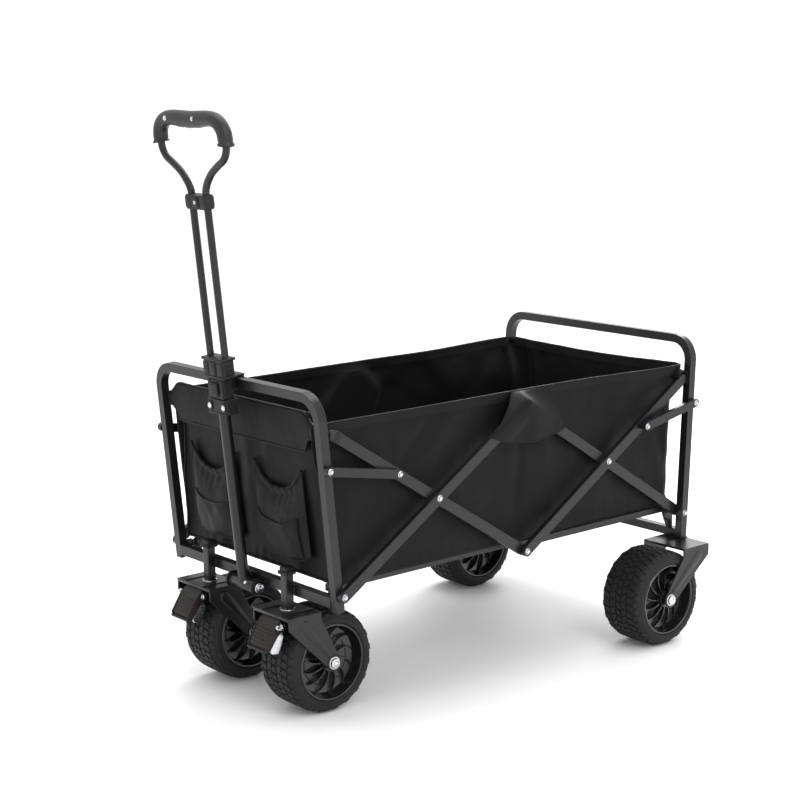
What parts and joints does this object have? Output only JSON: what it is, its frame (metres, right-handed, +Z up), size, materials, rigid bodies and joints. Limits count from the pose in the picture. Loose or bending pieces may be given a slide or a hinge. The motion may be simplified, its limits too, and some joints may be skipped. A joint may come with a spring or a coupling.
{
  "type": "folding camp wagon",
  "caption": "Folding camp wagon: a cloth bag in a crossing-bar steel frame, wide fixed rear wheels, swivelling front wheels with foot brakes and a long pull handle.",
  "frame": {"origin": "middle of the overall box at the ground, under the bag", "axes": "+X from the pull handle towards the rear wheels, +Y across to the wagon's left side, +Z up"},
  "size_m": [0.9996, 0.6386, 1.0345],
  "materials": {
    "frame": "satin",
    "zinc": "polished",
    "plastic": "matte",
    "grip": "fine texture",
    "pedal": "matte",
    "tyre": "matte",
    "hub": "gloss",
    "cloth": "woven",
    "mesh": "net"
  },
  "bodies": {
    "front_frame": {"front_hoop": "frame", "front_crossbar": "frame", "stem_cap_left": "plastic", "stem_cap_right": "plastic", "pole_clip": "plastic", "handle_bolt": "zinc", "bag_front_wall": "cloth", "front_flap": "cloth", "pocket_left": "mesh", "pocket_right": "mesh", "bag_side_left": "cloth", "bag_side_right": "cloth"},
    "bar_a_left": {"bar_a_left": "frame"},
    "bar_b_left": {"bar_b_left": "frame"},
    "bar_c_left": {"bar_c_left": "frame"},
    "bar_d_left": {"bar_d_left": "frame"},
    "link_front_left": {"link_front_left": "frame"},
    "link_rear_left": {"link_rear_left": "frame"},
    "bar_a_right": {"bar_a_right": "frame"},
    "bar_b_right": {"bar_b_right": "frame"},
    "bar_c_right": {"bar_c_right": "frame"},
    "bar_d_right": {"bar_d_right": "frame"},
    "link_front_right": {"link_front_right": "frame"},
    "link_rear_right": {"link_rear_right": "frame"},
    "rear_frame": {"rear_hoop": "frame", "rear_crossbar": "frame", "rear_fork_left": "frame", "rear_fork_right": "frame", "rear_axle_left": "zinc", "rear_axle_right": "zinc", "bag_rear_wall": "cloth"},
    "floor_front": {"floor_frame_front": "frame", "bag_floor_front": "cloth"},
    "floor_rear": {"floor_frame_rear": "frame", "bag_floor_rear": "cloth"},
    "caster_left": {"caster_fork_left": "frame", "front_axle_left": "zinc"},
    "front_wheel_left": {"front_tyre_left": "tyre", "front_rim_left": "hub"},
    "rear_wheel_left": {"rear_tyre_left": "tyre", "rear_rim_left": "hub"},
    "brake_left": {"brake_pedal_left": "pedal", "brake_bar_left": "zinc"},
    "caster_right": {"caster_fork_right": "frame", "front_axle_right": "zinc"},
    "front_wheel_right": {"front_tyre_right": "tyre", "front_rim_right": "hub"},
    "rear_wheel_right": {"rear_tyre_right": "tyre", "rear_rim_right": "hub"},
    "brake_right": {"brake_pedal_right": "pedal", "brake_bar_right": "zinc"},
    "pole": {"lower_pole": "frame"},
    "pull_handle": {"handle_collar": "plastic", "lock_block": "plastic", "rod_sleeve": "plastic", "handle_rods": "frame", "rod_clip": "plastic", "grip": "grip"},
    "release_button": {"release_button": "plastic"}
  },
  "joints": [
    {"name": "fold", "type": "hinge", "parent": "front_frame", "child": "bar_a_left", "pos_m": [-0.3755, 0.247, 0.234], "axis": [0, -1, 0], "range_deg": [0, 48], "deforming": ["bag_side_left", "bag_side_right", "bag_floor_front", "bag_floor_rear"]},
    {"name": "fold_a_right", "type": "hinge", "parent": "front_frame", "child": "bar_a_right", "pos_m": [-0.3755, -0.247, 0.234], "axis": [0, -1, 0], "range_deg": [0, 48.5]},
    {"name": "fold_b_left", "type": "hinge", "parent": "bar_a_left", "child": "bar_b_left", "pos_m": [-0.163, 0.2415, 0.369], "axis": [0, -1, 0], "range_deg": [-97, 0.5]},
    {"name": "fold_d_left", "type": "hinge", "parent": "bar_a_left", "child": "bar_d_left", "pos_m": [0.0495, 0.2415, 0.504], "axis": [0, -1, 0], "range_deg": [-97, 0.5]},
    {"name": "fold_c_left", "type": "hinge", "parent": "bar_d_left", "child": "bar_c_left", "pos_m": [0.262, 0.2415, 0.369], "axis": [0, -1, 0], "range_deg": [-0.5, 97]},
    {"name": "fold_b_right", "type": "hinge", "parent": "bar_a_right", "child": "bar_b_right", "pos_m": [-0.163, -0.2415, 0.369], "axis": [0, -1, 0], "range_deg": [-97, 0.5]},
    {"name": "fold_d_right", "type": "hinge", "parent": "bar_a_right", "child": "bar_d_right", "pos_m": [0.0495, -0.2415, 0.504], "axis": [0, -1, 0], "range_deg": [-97, 0.5]},
    {"name": "fold_c_right", "type": "hinge", "parent": "bar_d_right", "child": "bar_c_right", "pos_m": [0.262, -0.2415, 0.369], "axis": [0, -1, 0], "range_deg": [-0.5, 97]},
    {"name": "fold_rear", "type": "hinge", "parent": "bar_d_left", "child": "rear_frame", "pos_m": [0.4745, 0.241, 0.234], "axis": [0, -1, 0], "range_deg": [-0.5, 48.5]},
    {"name": "link_front_left_turn", "type": "hinge", "parent": "front_frame", "child": "link_front_left", "pos_m": [-0.4015, 0.247, 0.453], "axis": [0, -1, 0], "range_deg": [-0.5, 80.73]},
    {"name": "link_rear_left_turn", "type": "hinge", "parent": "rear_frame", "child": "link_rear_left", "pos_m": [0.4905, 0.2635, 0.453], "axis": [0, 1, 0], "range_deg": [-0.5, 85.3]},
    {"name": "link_front_right_turn", "type": "hinge", "parent": "front_frame", "child": "link_front_right", "pos_m": [-0.4015, -0.247, 0.453], "axis": [0, -1, 0], "range_deg": [-0.5, 80.73]},
    {"name": "link_rear_right_turn", "type": "hinge", "parent": "rear_frame", "child": "link_rear_right", "pos_m": [0.4905, -0.2635, 0.453], "axis": [0, 1, 0], "range_deg": [-0.5, 85.3]},
    {"name": "floor_front_turn", "type": "hinge", "parent": "front_frame", "child": "floor_front", "pos_m": [-0.3615, 0, 0.2375], "axis": [0, -1, 0], "range_deg": [-0.5, 81.23]},
    {"name": "floor_rear_turn", "type": "hinge", "parent": "rear_frame", "child": "floor_rear", "pos_m": [0.4605, 0, 0.2375], "axis": [0, 1, 0], "range_deg": [-0.5, 81.23]},
    {"name": "swivel_left", "type": "hinge", "parent": "front_frame", "child": "caster_left", "pos_m": [-0.395, 0.117, 0.189], "axis": [0, 0, 1], "continuous": true},
    {"name": "front_spin_left", "type": "hinge", "parent": "caster_left", "child": "front_wheel_left", "pos_m": [-0.3355, 0.117, 0.09], "axis": [0, 1, 0], "continuous": true},
    {"name": "rear_spin_left", "type": "hinge", "parent": "rear_frame", "child": "rear_wheel_left", "pos_m": [0.3725, 0.262, 0.09], "axis": [0, 1, 0], "continuous": true},
    {"name": "brake_left_press", "type": "hinge", "parent": "caster_left", "child": "brake_left", "pos_m": [-0.4325, 0.117, 0.176], "axis": [0, -1, 0], "range_deg": [0, 12]},
    {"name": "swivel_right", "type": "hinge", "parent": "front_frame", "child": "caster_right", "pos_m": [-0.395, -0.117, 0.189], "axis": [0, 0, 1], "continuous": true},
    {"name": "front_spin_right", "type": "hinge", "parent": "caster_right", "child": "front_wheel_right", "pos_m": [-0.3355, -0.117, 0.09], "axis": [0, 1, 0], "continuous": true},
    {"name": "rear_spin_right", "type": "hinge", "parent": "rear_frame", "child": "rear_wheel_right", "pos_m": [0.3725, -0.262, 0.09], "axis": [0, 1, 0], "continuous": true},
    {"name": "brake_right_press", "type": "hinge", "parent": "caster_right", "child": "brake_right", "pos_m": [-0.4325, -0.117, 0.176], "axis": [0, -1, 0], "range_deg": [0, 12]},
    {"name": "handle_tilt", "type": "hinge", "parent": "front_frame", "child": "pole", "pos_m": [-0.4015, 0, 0.21], "axis": [0, -1, 0], "range_deg": [0, 80]},
    {"name": "handle_slide", "type": "slide", "parent": "pole", "child": "pull_handle", "axis": [0.1045, 0, -0.9945], "range_m": [0, 0.26]},
    {"name": "button_press", "type": "slide", "parent": "pull_handle", "child": "release_button", "axis": [0.9945, 0, 0.1045], "range_m": [0, 0.002], "stiffness_N_per_m": 400}
  ],
  "couplings": [
    {"joint": "fold_a_right", "follows": "fold", "ratio": 1},
    {"joint": "fold_b_left", "follows": "fold", "ratio": -2},
    {"joint": "fold_d_left", "follows": "fold", "ratio": -2},
    {"joint": "fold_c_left", "follows": "fold", "ratio": 2},
    {"joint": "fold_b_right", "follows": "fold", "ratio": -2},
    {"joint": "fold_d_right", "follows": "fold", "ratio": -2},
    {"joint": "fold_c_right", "follows": "fold", "ratio": 2},
    {"joint": "fold_rear", "follows": "fold", "ratio": 1},
    {"joint": "link_front_left_turn", "follows": "fold", "ratio": 1.661},
    {"joint": "link_rear_left_turn", "follows": "fold", "ratio": 1.7563},
    {"joint": "link_front_right_turn", "follows": "fold", "ratio": 1.661},
    {"joint": "link_rear_right_turn", "follows": "fold", "ratio": 1.7563},
    {"joint": "floor_front_turn", "follows": "fold", "ratio": 1.6715},
    {"joint": "floor_rear_turn", "follows": "fold", "ratio": 1.6715}
  ]
}
